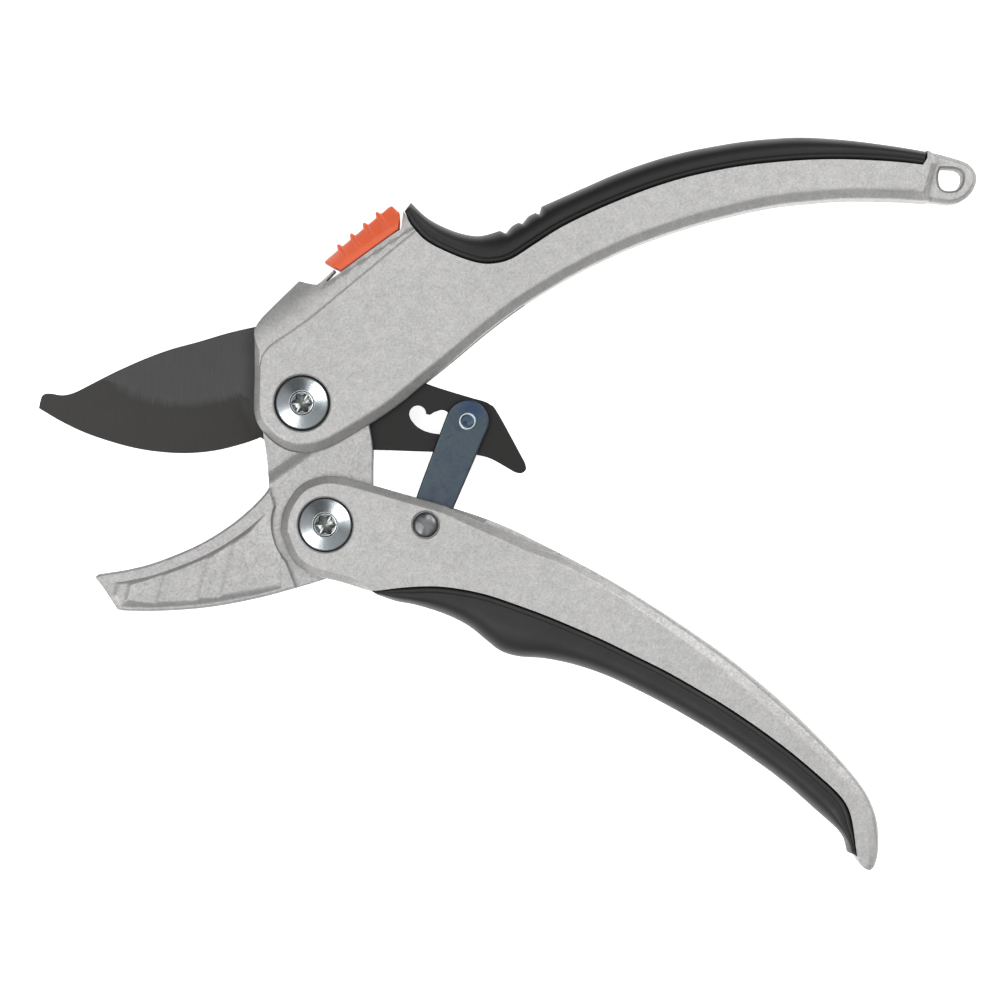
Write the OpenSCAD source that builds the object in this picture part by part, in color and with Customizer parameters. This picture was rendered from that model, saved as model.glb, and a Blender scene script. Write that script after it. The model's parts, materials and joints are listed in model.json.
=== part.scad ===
// Ratchet anvil pruning shears, lying flat on the far face of both handles.
// All sizes are in millimetres. X runs along the upper handle, Y across the
// opening between the handles, Z through the thickness of the castings.

/* [Castings] */
// Thickness of the handle castings
casting_t = 14; // [12:0.5:16]
// Thickness of each cheek of the upper handle
upper_cheek_t = 2.9; // [2.6:0.05:3.1]
// Thickness of each cheek of the lower handle
lower_cheek_t = 2.6; // [2.2:0.05:2.7]
// Thickness of the jaw's full-width arm
jaw_arm_t = 11.2; // [9:0.1:13]
// How far the grips stay inside the faces of the castings
grip_inset = 0.3; // [0.1:0.1:1]
// Thickness of the hanging loop
loop_t = 7; // [5:0.5:10]

/* [Blade and ratchet] */
// Thickness of the blade
blade_t = 3.2; // [2.5:0.1:3.3]
// Angle that the blade would turn to touch the jaw's edge, in degrees
touch_angle = 39; // [38.6:0.1:40]
// Thickness of each link plate
link_t = 1.8; // [1.2:0.1:1.9]
// Half the width of the link plates
link_r = 4.8; // [4.4:0.05:5]
// Radius of the pin that rides in the blade's notches
ratchet_pin_r = 1.5; // [1.2:0.05:1.6]
// Running clearance of pins and shafts, on the radius
running_gap = 0.05; // [0.02:0.01:0.08]

/* [Bolts] */
// Radius of the bolt shanks
shank_r = 3; // [2.5:0.1:3.2]
// Radius of the bolt heads
head_r = 5.9; // [5:0.1:6]
// Height that the bolt heads stand above the casting's face
head_proud = 0.5; // [0:0.1:1]
// Width across the flats of the nuts
nut_flats = 9; // [8:0.5:9.5]

/* [Slider] */
// Width of the thumb slider
slider_w = 10.8; // [8:0.2:12]
// Number of ribs on the thumb slider
rib_count = 4; // [2:1:5]

/* [Hidden] */
$fn = 64;

mid_z = casting_t / 2;
blade_pivot = [-45.8, 22];
handle_pivot = [-40.6, -5.2];
link_pivot = [-18.2, -5.2];
ratchet_spot = [-8.9, 18];
link_length = norm(ratchet_spot - link_pivot);
link_angle = atan2(ratchet_spot.y - link_pivot.y, ratchet_spot.x - link_pivot.x);
blade_low = mid_z - blade_t / 2;
blade_high = mid_z + blade_t / 2;
jaw_t = casting_t - 2 * upper_cheek_t;
fork_gap = 0.2;
fork_slot_t = blade_t + 2 * fork_gap;
link_side_gap = 0.3;
spacing = 1.4;

// Where the recess of the thumb slider starts, and the way it runs
slide_start = [-40.5, 48.3];
slide_angle = 33.4;

function slide_point(x, y) = slide_start + x * [cos(slide_angle), sin(slide_angle)]
    + y * [-sin(slide_angle), cos(slide_angle)];

// ---- curves ----

// Point at t between b and c on a smooth curve that also passes a and d
function curve_point(a, b, c, d, t) =
    0.5 * (2 * b + (c - a) * t + (2 * a - 5 * b + 4 * c - d) * t * t
    + (3 * b - a - 3 * c + d) * t * t * t);

// Smooth run through the points p, without its last point
function smooth(p) = [for (i = [0 : len(p) - 2])
    let (b = p[i], c = p[i + 1], a = p[max(i - 1, 0)], d = p[min(i + 2, len(p) - 1)],
        steps = max(1, ceil(norm(c - b) / spacing)))
    for (s = [0 : steps - 1]) curve_point(a, b, c, d, s / steps)];

function reversed(p) = [for (i = [len(p) - 1 : -1 : 0]) p[i]];
function part_of(p, first, last) = [for (i = [first : last]) p[i]];
function shifted(p, by) = [for (q = p) q + by];
function on_circle(centre, r, angle) = centre + r * [cos(angle), sin(angle)];
function arc(centre, r, from, to, steps) =
    [for (i = [0 : steps]) on_circle(centre, r, from + (to - from) * i / steps)];
function turned(p, centre, angle) = [for (q = p) let (v = q - centre)
    centre + [v.x * cos(angle) - v.y * sin(angle), v.x * sin(angle) + v.y * cos(angle)]];

// ---- outlines ----

// Border between the upper casting and its grip, from the thumb slider to the loop
upper_border = [[-21.6, 62.0], [-18.2, 58.3], [-12.2, 55.2], [-6.5, 53.3], [-2.5, 53.2],
    [1.2, 54.3], [5.9, 57.3], [11.9, 61.1], [18.7, 64.5], [25.4, 67.4], [32.2, 70.0],
    [38.9, 72.1], [45.7, 73.7], [52.4, 74.9], [59.2, 75.7], [67.5, 76.3], [76.0, 76.4],
    [86.2, 75.9], [92.9, 75.2]];

// Border between the lower casting and its grip, from the pivot end to the tail
lower_border = [[-30.2, -20.1], [-23.4, -19.2], [-16.5, -18.9], [-10.6, -19.5],
    [-4.5, -20.8], [1.8, -22.9], [8.6, -25.4], [15.3, -28.2], [22.1, -31.2], [28.8, -34.5],
    [35.6, -37.9], [42.3, -41.7], [49.1, -45.8], [55.8, -50.3], [62.6, -55.3], [69.3, -60.9],
    [74.3, -65.6], [76.5, -69.2], [77.5, -74.0], [78.1, -79.3]];

// Cutting edge of the blade, from the tip to the heel
blade_edge = [[-105.3, 21.0], [-103.3, 19.8], [-100.2, 18.0], [-95.2, 15.6], [-89.5, 13.6],
    [-83.5, 12.0], [-77.4, 11.1], [-71.4, 10.9], [-65.4, 11.5], [-59.4, 13.0], [-55.4, 14.4]];

// The jaw's edge is the blade's edge, turned to where the two would touch
jaw_edge = turned(smooth(blade_edge), blade_pivot, touch_angle);
jaw_edge_shown = [for (q = jaw_edge) if (norm(q - blade_pivot) > 21.5) q];

function upper_outline() = concat(
    smooth([[-56.5, 38.4], [-56.5, 29], [-56.5, 19.6], [-54.3, 15.3], [-50.5, 12.1],
        [-46.0, 10.9], [-40.1, 12.0], [-31.9, 16.6], [-25.2, 21.0], [-18.3, 26.6],
        [-11.7, 31.9], [-5.0, 37.5], [1.8, 42.7], [8.6, 47.1], [15.3, 51.0], [22.1, 54.4],
        [28.8, 57.4], [38.9, 61.0], [49.1, 63.9], [59.2, 66.1], [67.6, 67.1], [76.0, 67.7],
        [86.0, 67.6], [95.4, 67.1], [99.7, 66.7], [102.7, 67.8], [104.7, 70.1], [105.3, 73.0],
        [103.5, 75.7], [99.2, 77.3], [93.9, 78.6]]),
    [[93.9, 78.6], [93.9, 76.8]],
    reversed(concat(smooth(upper_border), [[92.9, 75.2]])),
    [[-23.2, 65.1], slide_point(21, 1.3), slide_point(18.2, 1.3),
        slide_point(0.2, 0.5), slide_start, [-43.6, 48.6], [-46.6, 49.4],
        [-54.4, 41.6], [-55.8, 39.8]]);

function upper_grip_outline() = concat(
    smooth([[-21.6, 67.2], [-18.4, 64.1], [-15.1, 62.1], [-10.5, 60.3], [-6.1, 59.7],
        [-1.6, 60.9]]),
    [[-1.6, 60.9], [-0.3, 60.2], [1.1, 61.9], [2.5, 62.7], [3.4, 62.4], [4.8, 64.1],
        [6.3, 64.9], [7.2, 64.5]],
    smooth([[7.7, 66.3], [11.9, 68.2], [18.7, 71.2], [25.4, 74.0], [32.2, 76.4], [38.9, 78.3],
        [45.7, 79.7], [52.4, 80.8], [59.2, 81.5], [66.5, 81.8], [76.0, 81.2], [86.2, 79.9],
        [93.9, 78.6]]),
    [[93.9, 78.6], [93.9, 76.8], [92.9, 75.2]],
    reversed(smooth(upper_border)), [[-23.0, 65.2]]);

function lower_outline() = concat(
    smooth([[-50.7, -6.6], [-50.0, -1.9], [-46.5, 3.4], [-41.4, 5.6], [-36.2, 5.3],
        [-29.5, 3.5], [-20.5, 0.9], [-12.0, -1.5], [-5.0, -3.8], [1.8, -6.6], [8.6, -10.0],
        [15.3, -13.4], [22.1, -17.1], [28.8, -21.0], [35.6, -25.3], [42.3, -29.8],
        [49.1, -34.6], [55.8, -39.9], [62.6, -45.8], [69.3, -52.3], [75.6, -59.0],
        [80.2, -65.0], [82.6, -70.8], [83.1, -76.5], [82.6, -80.4], [81.2, -82.6],
        [79.2, -81.4], [78.1, -79.3]]),
    reversed(concat(smooth(lower_border), [[78.1, -79.3]])),
    smooth([[-30.2, -20.1], [-37.6, -17.9], [-43.4, -16.3], [-48.0, -13.0], [-50.7, -6.6]]));

function lower_grip_outline() = concat(
    smooth(lower_border), [[78.1, -79.3], [76.5, -78.7]],
    smooth([[75.9, -76.0], [74.2, -73.6], [69.3, -69.2], [62.6, -63.3], [55.8, -58.2],
        [49.1, -53.6], [42.3, -49.4], [35.6, -45.6], [28.8, -42.1], [22.1, -39.0],
        [15.3, -36.7], [8.6, -35.3], [2.5, -34.8], [-1.4, -33.6], [-4.6, -31.2],
        [-8.6, -28.0], [-13.7, -25.4], [-20.2, -23.3], [-25.2, -22.3], [-30.2, -20.5]]));

function jaw_outline() = concat(jaw_edge_shown,
    smooth([[-53.3, 3.2], [-53.4, 6.0], [-53.8, 10.5], [-54.6, 15.5], [-54.4, 21.5],
        [-52.0, 27.6], [-45.8, 30.8], [-39.2, 29.4], [-34.4, 25.2], [-31.6, 19.6],
        [-30.2, 13.0], [-30.1, 7.0], [-30.1, 1.0], [-30.1, -5.2]]),
    arc(handle_pivot, 10.5, 0, -76, 10),
    smooth([[-38.5, -16.7], [-47.0, -19.3], [-56.0, -21.7], [-67.0, -23.7], [-77.9, -24.5],
        [-85.9, -24.4], [-87.3, -23.9]]),
    [[-87.3, -23.9], [-90.2, -19.5], [-92.2, -16.9]]);

// The two full-width areas of the jaw: its arm, and its shoulder by the upper handle
function jaw_arm_outline() = concat(jaw_edge_shown, [[-53.0, 3.0]],
    arc(handle_pivot, 11.9, 160, 222, 12),
    smooth([[-47.0, -19.3], [-56.0, -21.7], [-67.0, -23.7], [-77.9, -24.5], [-85.9, -24.4],
        [-87.3, -23.9]]),
    [[-87.3, -23.9], [-90.2, -19.5], [-92.2, -16.9]]);
function jaw_shoulder_outline() = concat(
    smooth([[-53.3, 3.6], [-53.4, 6.0], [-53.8, 10.5], [-54.6, 15.5]]),
    [[-54.6, 18], [-36, 18], [-37.6, 13.8], [-42.1, 11.4]]);

function blade_outline() = concat(smooth(blade_edge),
    smooth([[-55.4, 14.4], [-51.6, 12.2], [-45.8, 11.2], [-38.0, 11.5], [-29.5, 11.6],
        [-20.7, 11.3], [-12.0, 11.0], [-7.0, 10.5], [-3.6, 9.6], [0.7, 7.2], [2.0, 6.5],
        [3.4, 6.4], [4.3, 7.2], [4.0, 8.8]]),
    smooth([[4.0, 8.8], [-2.0, 19.8], [-3.6, 21.7], [-5.4, 22.6], [-8.3, 23.4],
        [-17.8, 26.4], [-26.0, 30.2], [-33.2, 34.8]]),
    [[-33.2, 34.8], on_circle(blade_pivot, 23.6, 54), on_circle(blade_pivot, 23.6, 63),
        [-38.6, 39.9]],
    smooth([[-44.0, 40.3], [-50.5, 40.2], [-55.8, 39.4], [-62.5, 37.9], [-69.3, 35.9],
        [-75.5, 34.2], [-81.5, 32.0], [-88.2, 29.0], [-94.3, 25.9], [-97.2, 24.5],
        [-99.9, 23.9], [-102.8, 24.3], [-104.5, 23.8], [-105.3, 21.0]]));

// Space that the blade turns through between the two sides of the jaw
function jaw_fork_outline() = concat(jaw_edge,
    [[-45.8, 9.6], [-25, 9.6], [-25, 45], [-110, 45], [-110, -18]]);

// Space between the cheeks of the upper handle, for the jaw, blade, link and slider
upper_channel = [[-60, 5], [-60, 46], [-47, 54], [-26, 61], [-24.5, 57.5], [-24.1, 53.9],
    [-19, 50.7], [-13.5, 50.2], [-9.5, 49.2], [3, 44.6], [8, 43], [6, 28], [-20, 5]];

// Space between the cheeks of the lower handle, for the jaw, link and spring
lower_channel = [[-56, 12], [-3, 12], [-3, 2], [-4.2, -4], [-8.5, -7], [-13, -9.8],
    [-18.5, -10.8], [-25, -12.8], [-31, -16.5], [-35.5, -19.5], [-37, -26], [-56, -26]];

// ---- helpers ----

module slab(points, low, high) {
    translate([0, 0, low]) linear_extrude(high - low) polygon(points);
}

module post(centre, r, low, high) {
    translate([centre.x, centre.y, low]) cylinder(r = r, h = high - low);
}

module tube(centre, outer, inner, low, high) {
    difference() {
        post(centre, outer, low, high);
        post(centre, inner, low - 1, high + 1);
    }
}

// Round tube of radius r along the points p, whose way is mostly level
module wire(p, r, sides = 8) {
    last = len(p) - 1;
    rings = [for (i = [0 : last])
        let (way = p[min(i + 1, last)] - p[max(i - 1, 0)],
            side = [-way.y, way.x, 0] / norm([way.x, way.y]))
        for (k = [0 : sides - 1])
            p[i] + r * (cos(360 * k / sides) * side + [0, 0, sin(360 * k / sides)])];
    walls = [for (i = [0 : last - 1], k = [0 : sides - 1])
        let (a = i * sides + k, b = i * sides + (k + 1) % sides)
        each [[a, b, b + sides], [a, b + sides, a + sides]]];
    ends = [for (k = [1 : sides - 2])
        each [[0, k + 1, k], [last * sides, last * sides + k, last * sides + k + 1]]];
    polyhedron(rings, concat(walls, ends), convexity = 4);
}

module on_slide() {
    translate([slide_start.x, slide_start.y, 0]) rotate(slide_angle) children();
}

module on_link() {
    translate([link_pivot.x, link_pivot.y, 0]) rotate(link_angle) children();
}

// Six-lobed recess in a bolt's head, with its floor at height low
module driver_recess(centre, low, high) {
    lobe_ring = 1.75;
    post(centre, 1.95, low, high);
    for (i = [0 : 5])
        post(on_circle(centre, lobe_ring, 60 * i), 0.6, low, high);
}

module bolt(centre) {
    head_low = casting_t - 1.5;
    head_high = casting_t + head_proud;
    difference() {
        union() {
            post(centre, shank_r, 0.4, head_low + 0.5);
            post(centre, head_r, head_low, head_high);
        }
        driver_recess(centre, head_high - 1.5, head_high + 1);
    }
}

module bolt_washer(centre, r) {
    tube(centre, r, shank_r + running_gap, casting_t - 1.9, casting_t - 1.5);
}

module nut(centre, thickness) {
    difference() {
        translate([centre.x, centre.y, 0.2])
            cylinder(r = nut_flats / sqrt(3), h = thickness, $fn = 6);
        post(centre, shank_r + running_gap, -1, 5);
    }
}

// Holes for a bolt: its shank, the recess of its head and the recess of its nut
module bolt_holes(centre, recess_r, nut_depth) {
    post(centre, shank_r + running_gap, -1, casting_t + 1);
    post(centre, recess_r, casting_t - 1.9, casting_t + 1);
    post(centre, nut_flats / sqrt(3) + 0.4, -1, nut_depth);
}

// ---- upper side ----

// Tongue of the casting that the grip is moulded around
module tongue(border, way, first) {
    inner = part_of(border, first, len(border) - 3);
    slab(concat(shifted(inner, -way), reversed(shifted(inner, way))), mid_z - 2.5, mid_z + 2.5);
}

module upper_handle() {
    color("#c5c6c5") {
        difference() {
            slab(upper_outline(), 0, casting_t);
            slab(upper_channel, upper_cheek_t, casting_t - upper_cheek_t);
            bolt_holes(blade_pivot, 6.3, 2);
            loop_steps(-1, mid_z - loop_t / 2);
            loop_steps(mid_z + loop_t / 2, casting_t + 1);
            slab(smooth([[97.2, 74.7], [100.6, 74.5], [102.1, 73.4], [101.9, 71.2],
                [100.6, 69.8], [98.2, 69.7], [96.9, 70.8], [96.7, 73.2], [97.2, 74.7]]),
                -1, casting_t + 1);
        }
        tongue(upper_border, [-0.6, 2.2], 3);
    }
}

// What is cut from the handle's faces to leave the thinner loop
module loop_steps(low, high) {
    slab([[94.2, 80], [96.2, 75.6], [94.5, 69.2], [94.2, 60], [110, 60], [110, 80]], low, high);
}

module upper_grip() {
    color("#2b2a2a") difference() {
        slab(upper_grip_outline(), grip_inset, casting_t - grip_inset);
        tongue(upper_border, [-0.6, 2.2], 3);
    }
}

// ---- jaw and blade ----

module lower_jaw() {
    arm_low = mid_z - jaw_arm_t / 2;
    arm_high = mid_z + jaw_arm_t / 2;
    color("#b9b8b6") difference() {
        union() {
            slab(jaw_outline(), mid_z - jaw_t / 2, mid_z + jaw_t / 2);
            slab(jaw_arm_outline(), arm_low, arm_high);
            difference() {
                slab(jaw_shoulder_outline(), arm_low, arm_high);
                slab(upper_outline(), -1, casting_t + 1);
            }
        }
        slab(jaw_fork_outline(), mid_z - fork_slot_t / 2, mid_z + fork_slot_t / 2);
        post(blade_pivot, shank_r + running_gap, -1, casting_t + 1);
        post(handle_pivot, shank_r + 1.05, -1, casting_t + 1);
    }
}

// Notches and return track that the ratchet pin moves in
module ratchet_slot() {
    notch_r = ratchet_pin_r + 0.4;
    notches = [ratchet_spot, [-14.7, 18.7], [-20.1, 19.7]];
    for (spot = notches) post(spot, notch_r, -1, casting_t + 1);
    slab(concat(arc(notches[2], notch_r, 100, 200, 8),
        smooth([[-21.6, 18.4], [-20.4, 17.0], [-18.6, 15.9], [-16.4, 15.3], [-14.0, 15.1],
            [-11.5, 15.1], [-8.9, 16.1]]),
        arc(notches[0], notch_r, -90, 90, 10),
        [[-11.7, 19.0], [-14.7, 20.6], [-16.2, 20.2], [-17.4, 19.5], [-18.2, 19.7]]),
        -1, casting_t + 1);
}

module blade() {
    color("#4b4b4a") difference() {
        slab(blade_outline(), blade_low, blade_high);
        post(blade_pivot, shank_r + 1.05, -1, casting_t + 1);
        ratchet_slot();
    }
}

module blade_bolt() color("#c9ccd0") bolt(blade_pivot);
module blade_bolt_washer() color("#1d1d1d") bolt_washer(blade_pivot, 6.25);
module blade_nut() color("#c9ccd0") nut(blade_pivot, 1.7);

module blade_bush() {
    color("#b08d4a") tube(blade_pivot, shank_r + 1, shank_r + running_gap,
        mid_z - fork_slot_t / 2, mid_z + fork_slot_t / 2);
}

module blade_washer(low) {
    color("#e6e2d8") tube(blade_pivot, 8, shank_r + 1.05, low, low + fork_gap - running_gap);
}
module blade_washer_near() blade_washer(blade_high + running_gap);
module blade_washer_far() blade_washer(blade_low - fork_gap);

// ---- lower side ----

module lower_handle() {
    color("#c5c6c5") {
        difference() {
            slab(lower_outline(), 0, casting_t);
            slab(lower_channel, lower_cheek_t, casting_t - lower_cheek_t);
            // the near cheek is lower than the far one beside the link
            slab([[-14, 2], [-14, -0.9], [-8.3, -3.6], [-1.6, -6.4], [5.2, -9.4], [11.5, -11.5],
                [14, -10], [0, 2]], mid_z, casting_t + 1);
            bolt_holes(handle_pivot, 6.15, 1.7);
            post(link_pivot, 2.02, -1, casting_t + 1);
            post(link_pivot, 3.05, casting_t - 1.3, casting_t + 1);
        }
        tongue(lower_border, [-1, -2.2], 2);
    }
}

module lower_grip() {
    color("#333335") difference() {
        slab(lower_grip_outline(), grip_inset, casting_t - grip_inset);
        tongue(lower_border, [-1, -2.2], 2);
    }
}

module handle_bolt() color("#c9ccd0") bolt(handle_pivot);
module handle_bolt_washer() color("#55585c") bolt_washer(handle_pivot, 6.1);
module handle_nut() color("#c9ccd0") nut(handle_pivot, 1.4);

module handle_bush() {
    color("#b08d4a") tube(handle_pivot, shank_r + 1, shank_r + running_gap,
        mid_z - jaw_t / 2, mid_z + jaw_t / 2);
}

// ---- link ----

link_low = blade_low - link_side_gap - link_t;
link_high = blade_high + link_side_gap + link_t;

module link_plate(low) {
    eye_r = 4;
    waist = 0.3 * link_length;
    waist_r = link_r - 0.4;
    color("#5f7a8c") difference() {
        on_link() slab(concat(arc([link_length, 0], link_r, -90, 90, 24), [[waist, waist_r]],
            arc([0, 0], eye_r, 90, 270, 20), [[waist, -waist_r]]), low, low + link_t);
        post(link_pivot, 2.92, -1, casting_t + 1);
        post(ratchet_spot, ratchet_pin_r + 0.02, -1, casting_t + 1);
    }
}
module link_plate_near() link_plate(link_high - link_t);
module link_plate_far() link_plate(link_low);

module link_bush() {
    color("#9aa1a6") tube(link_pivot, 2.9, 2 + running_gap, link_low, link_high);
}

module link_pin() {
    head_low = casting_t - 1.3;
    color("#8f9296") {
        post(link_pivot, 2, 0.2, head_low + 0.1);
        translate([link_pivot.x, link_pivot.y, head_low])
            rotate_extrude() polygon(concat([[0, 0], [2.8, 0]], arc([0, -3.2], 4.35, 48, 90, 8)));
    }
}

module ratchet_pin() {
    color("#7f8f9b") {
        post(ratchet_spot, ratchet_pin_r, link_low - 0.2, link_high);
        post(ratchet_spot, 2, link_high, link_high + 0.2);
    }
}

// Torsion spring on the link's bush: one leg on the casting's floor, one on the link
module return_spring() {
    wire_r = 0.35;
    turns = 3.5;
    coil_r = 3.45;
    steps = 14;
    start_z = blade_low + wire_r - 0.1;
    pitch = 0.78;
    start = -100;
    color("#8d9196") wire(concat(
        [[link_pivot.x + 5.2, link_pivot.y - 3.7, start_z]],
        [for (i = [0 : turns * steps]) let (at = on_circle(link_pivot, coil_r, start
            + 360 * i / steps)) [at.x, at.y, start_z + pitch * i / steps]],
        [[link_pivot.x - 2.0, link_pivot.y + 8.2, start_z + pitch * turns]]), wire_r, 8);
}

// ---- lock ----

// Side view of the thumb slider, along its own slide
slider_side = [[2.6, 4.6], [4.7, 0.9], [20.5, 1.6], [22.7, 4.8], [22.2, 7.0], [21.4, 7.2]];

module lock_slider() {
    rib_from = 7.2;
    rib_to = 18.4;
    color("#e25a2d") on_slide() {
        slab(slider_side, mid_z - slider_w / 2, mid_z + slider_w / 2);
        slab([[7, -2], [17, -2], [17, 2], [7, 2]], mid_z - 3.7, mid_z + 3.7);
        for (i = [0 : rib_count - 1])
            let (x = rib_from + (rib_to - rib_from) * i / (rib_count - 1), y = 4.1 + 0.138 * x)
            slab([[x - 1.1, y - 0.1], [x + 1.3, y], [x + 0.5, y + 1.1], [x - 0.4, y + 1.0]],
                mid_z - slider_w / 2 + 0.6, mid_z + slider_w / 2 - 0.6);
    }
}

module lock_strip() {
    color("#a9adb2") on_slide() {
        slab([[-2.4, -1.8], [-0.6, -1.8], [3, -2.9], [16.8, -2.9], [16.8, -2.05],
            [3.6, -2.05], [2.4, -0.3], [-1.8, 0.2]], mid_z - 1, mid_z + 1);
        slab([[-1.8, -0.3], [0.5, -0.3], [0.7, 1.0], [3.6, 1.7], [3.5, 2.2], [-0.2, 1.5],
            [-1.9, 1.4]], mid_z - 3.3, mid_z + 3.3);
    }
}

module lock_detent_spring() {
    color("#8d9196") on_slide()
        slab([[16.8, -4.0], [16.8, -3.6], [12, -3.1], [9, -3.4], [9, -3.8], [12, -3.5]],
            mid_z - 1.5, mid_z + 1.5);
}

upper_handle();
upper_grip();
lower_jaw();
blade();
blade_bolt();
blade_bolt_washer();
blade_nut();
blade_bush();
blade_washer_near();
blade_washer_far();
lower_handle();
lower_grip();
handle_bolt();
handle_bolt_washer();
handle_nut();
handle_bush();
link_plate_near();
link_plate_far();
link_bush();
link_pin();
ratchet_pin();
return_spring();
lock_slider();
lock_strip();
lock_detent_spring();
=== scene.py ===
import json
import math

import bmesh
import bpy
import numpy as np
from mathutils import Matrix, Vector


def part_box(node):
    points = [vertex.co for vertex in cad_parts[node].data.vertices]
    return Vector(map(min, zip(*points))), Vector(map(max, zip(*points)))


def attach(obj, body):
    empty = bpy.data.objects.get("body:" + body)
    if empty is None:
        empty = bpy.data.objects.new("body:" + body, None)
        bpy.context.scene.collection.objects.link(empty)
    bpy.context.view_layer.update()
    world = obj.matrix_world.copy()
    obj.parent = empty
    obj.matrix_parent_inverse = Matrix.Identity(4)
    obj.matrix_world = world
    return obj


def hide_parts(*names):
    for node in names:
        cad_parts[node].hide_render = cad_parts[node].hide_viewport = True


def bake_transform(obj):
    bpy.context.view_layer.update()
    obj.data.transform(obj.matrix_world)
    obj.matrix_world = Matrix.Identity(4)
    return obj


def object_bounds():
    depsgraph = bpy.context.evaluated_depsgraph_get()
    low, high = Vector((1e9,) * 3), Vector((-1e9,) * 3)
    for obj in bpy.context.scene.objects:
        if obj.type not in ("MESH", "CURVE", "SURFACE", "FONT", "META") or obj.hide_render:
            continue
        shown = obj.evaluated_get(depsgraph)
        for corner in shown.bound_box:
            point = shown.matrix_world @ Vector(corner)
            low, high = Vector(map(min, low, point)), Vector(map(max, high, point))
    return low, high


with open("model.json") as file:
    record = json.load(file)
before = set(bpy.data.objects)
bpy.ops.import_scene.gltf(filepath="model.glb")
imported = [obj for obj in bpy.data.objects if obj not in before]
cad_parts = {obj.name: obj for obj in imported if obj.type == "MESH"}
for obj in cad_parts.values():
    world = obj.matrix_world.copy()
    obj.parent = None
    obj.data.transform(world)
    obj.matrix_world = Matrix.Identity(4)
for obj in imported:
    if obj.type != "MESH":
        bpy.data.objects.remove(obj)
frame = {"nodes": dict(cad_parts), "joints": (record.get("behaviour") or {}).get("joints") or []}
cad_low, cad_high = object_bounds()

MM = 0.001
JOINTS = {joint["name"]: joint for joint in frame["joints"]}

# Heights of the level cuts that the outlines are taken at.
FAR_CHEEK_CUT, ARM_CUT, PLATE_CUT = 1.0 * MM, 2.0 * MM, 4.0 * MM
CHANNEL_CUT, MIDDLE_CUT, NEAR_CHEEK_CUT = 4.2 * MM, 7.0 * MM, 13.0 * MM


# ---- places that come from the frame ----

def pivot(joint):
    """Where a joint's axis crosses the middle of the shears, in metres."""
    return np.array(JOINTS[joint]["pos_m"][:2])


def middle(node):
    low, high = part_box(node)
    return np.array([(low.x + high.x) / 2, (low.y + high.y) / 2])


def heights(node):
    low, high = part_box(node)
    return low.z, high.z


def slide_frame():
    """Origin, way along and way across of the thumb slider's slide; its nose is 2.6 mm along it."""
    along = -np.array(JOINTS["lock_slide"]["axis"][:2])
    across = left_of(along)
    points = np.array([v.co.xy for v in frame["nodes"]["lock_slider"].data.vertices])
    nose = (points @ along).min() - 2.6 * MM
    neck_end = (points @ across).min() + 2.0 * MM
    return nose * along + neck_end * across, along, across


# ---- plane curves, as arrays of points in metres ----

def unit(ways):
    return ways / np.maximum(np.linalg.norm(ways, axis=-1, keepdims=True), 1e-12)


def left_of(ways):
    return np.stack([-ways[..., 1], ways[..., 0]], -1)


def area_of(loop):
    x, y = loop.T
    return 0.5 * np.sum(x * np.roll(y, -1) - y * np.roll(x, -1))


def nearest_on(points, path, closed=True):
    """Distance from each point to the path, and the index of the path's piece that is nearest."""
    starts = path if closed else path[:-1]
    ends = np.roll(path, -1, 0) if closed else path[1:]
    ways = ends - starts
    spans = np.maximum((ways ** 2).sum(1), 1e-18)
    share = np.clip(((points[:, None] - starts) * ways).sum(2) / spans, 0, 1)
    gaps = points[:, None] - (starts + share[..., None] * ways)
    distance = np.sqrt((gaps ** 2).sum(2))
    return distance.min(1), distance.argmin(1)


def without_straight_points(loop):
    before = np.roll(loop, 1, 0)
    after = np.roll(loop, -1, 0)
    way = unit(after - before)
    offset = np.abs(((loop - before) * left_of(way)).sum(1))
    return loop[offset > 0.0003 * MM]


def outlines(node, height):
    """Closed outlines where a level plane cuts a CAD node, the largest first, each counter-clockwise."""
    bm = bmesh.new()
    bm.from_mesh(frame["nodes"][node].data)
    bmesh.ops.remove_doubles(bm, verts=bm.verts, dist=0.002 * MM)
    whole = bm.verts[:] + bm.edges[:] + bm.faces[:]
    cut = bmesh.ops.bisect_plane(bm, geom=whole, plane_co=(0, 0, height), plane_no=(0, 0, 1))
    edges = {piece for piece in cut["geom_cut"] if isinstance(piece, bmesh.types.BMEdge)}
    loops = []
    while edges:
        edge = edges.pop()
        first, here = edge.verts
        points = [first.co.xy[:]]
        while here is not first:
            points.append(here.co.xy[:])
            edge = next((e for e in here.link_edges if e in edges), None)
            if edge is None:
                break
            edges.remove(edge)
            here = edge.other_vert(here)
        loop = without_straight_points(np.array(points))
        loop = loop if area_of(loop) > 0 else loop[::-1]
        loops.append(np.roll(loop, -int(loop[:, 0].argmax()), 0))
    bm.free()
    return sorted(loops, key=lambda loop: -area_of(loop))


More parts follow.
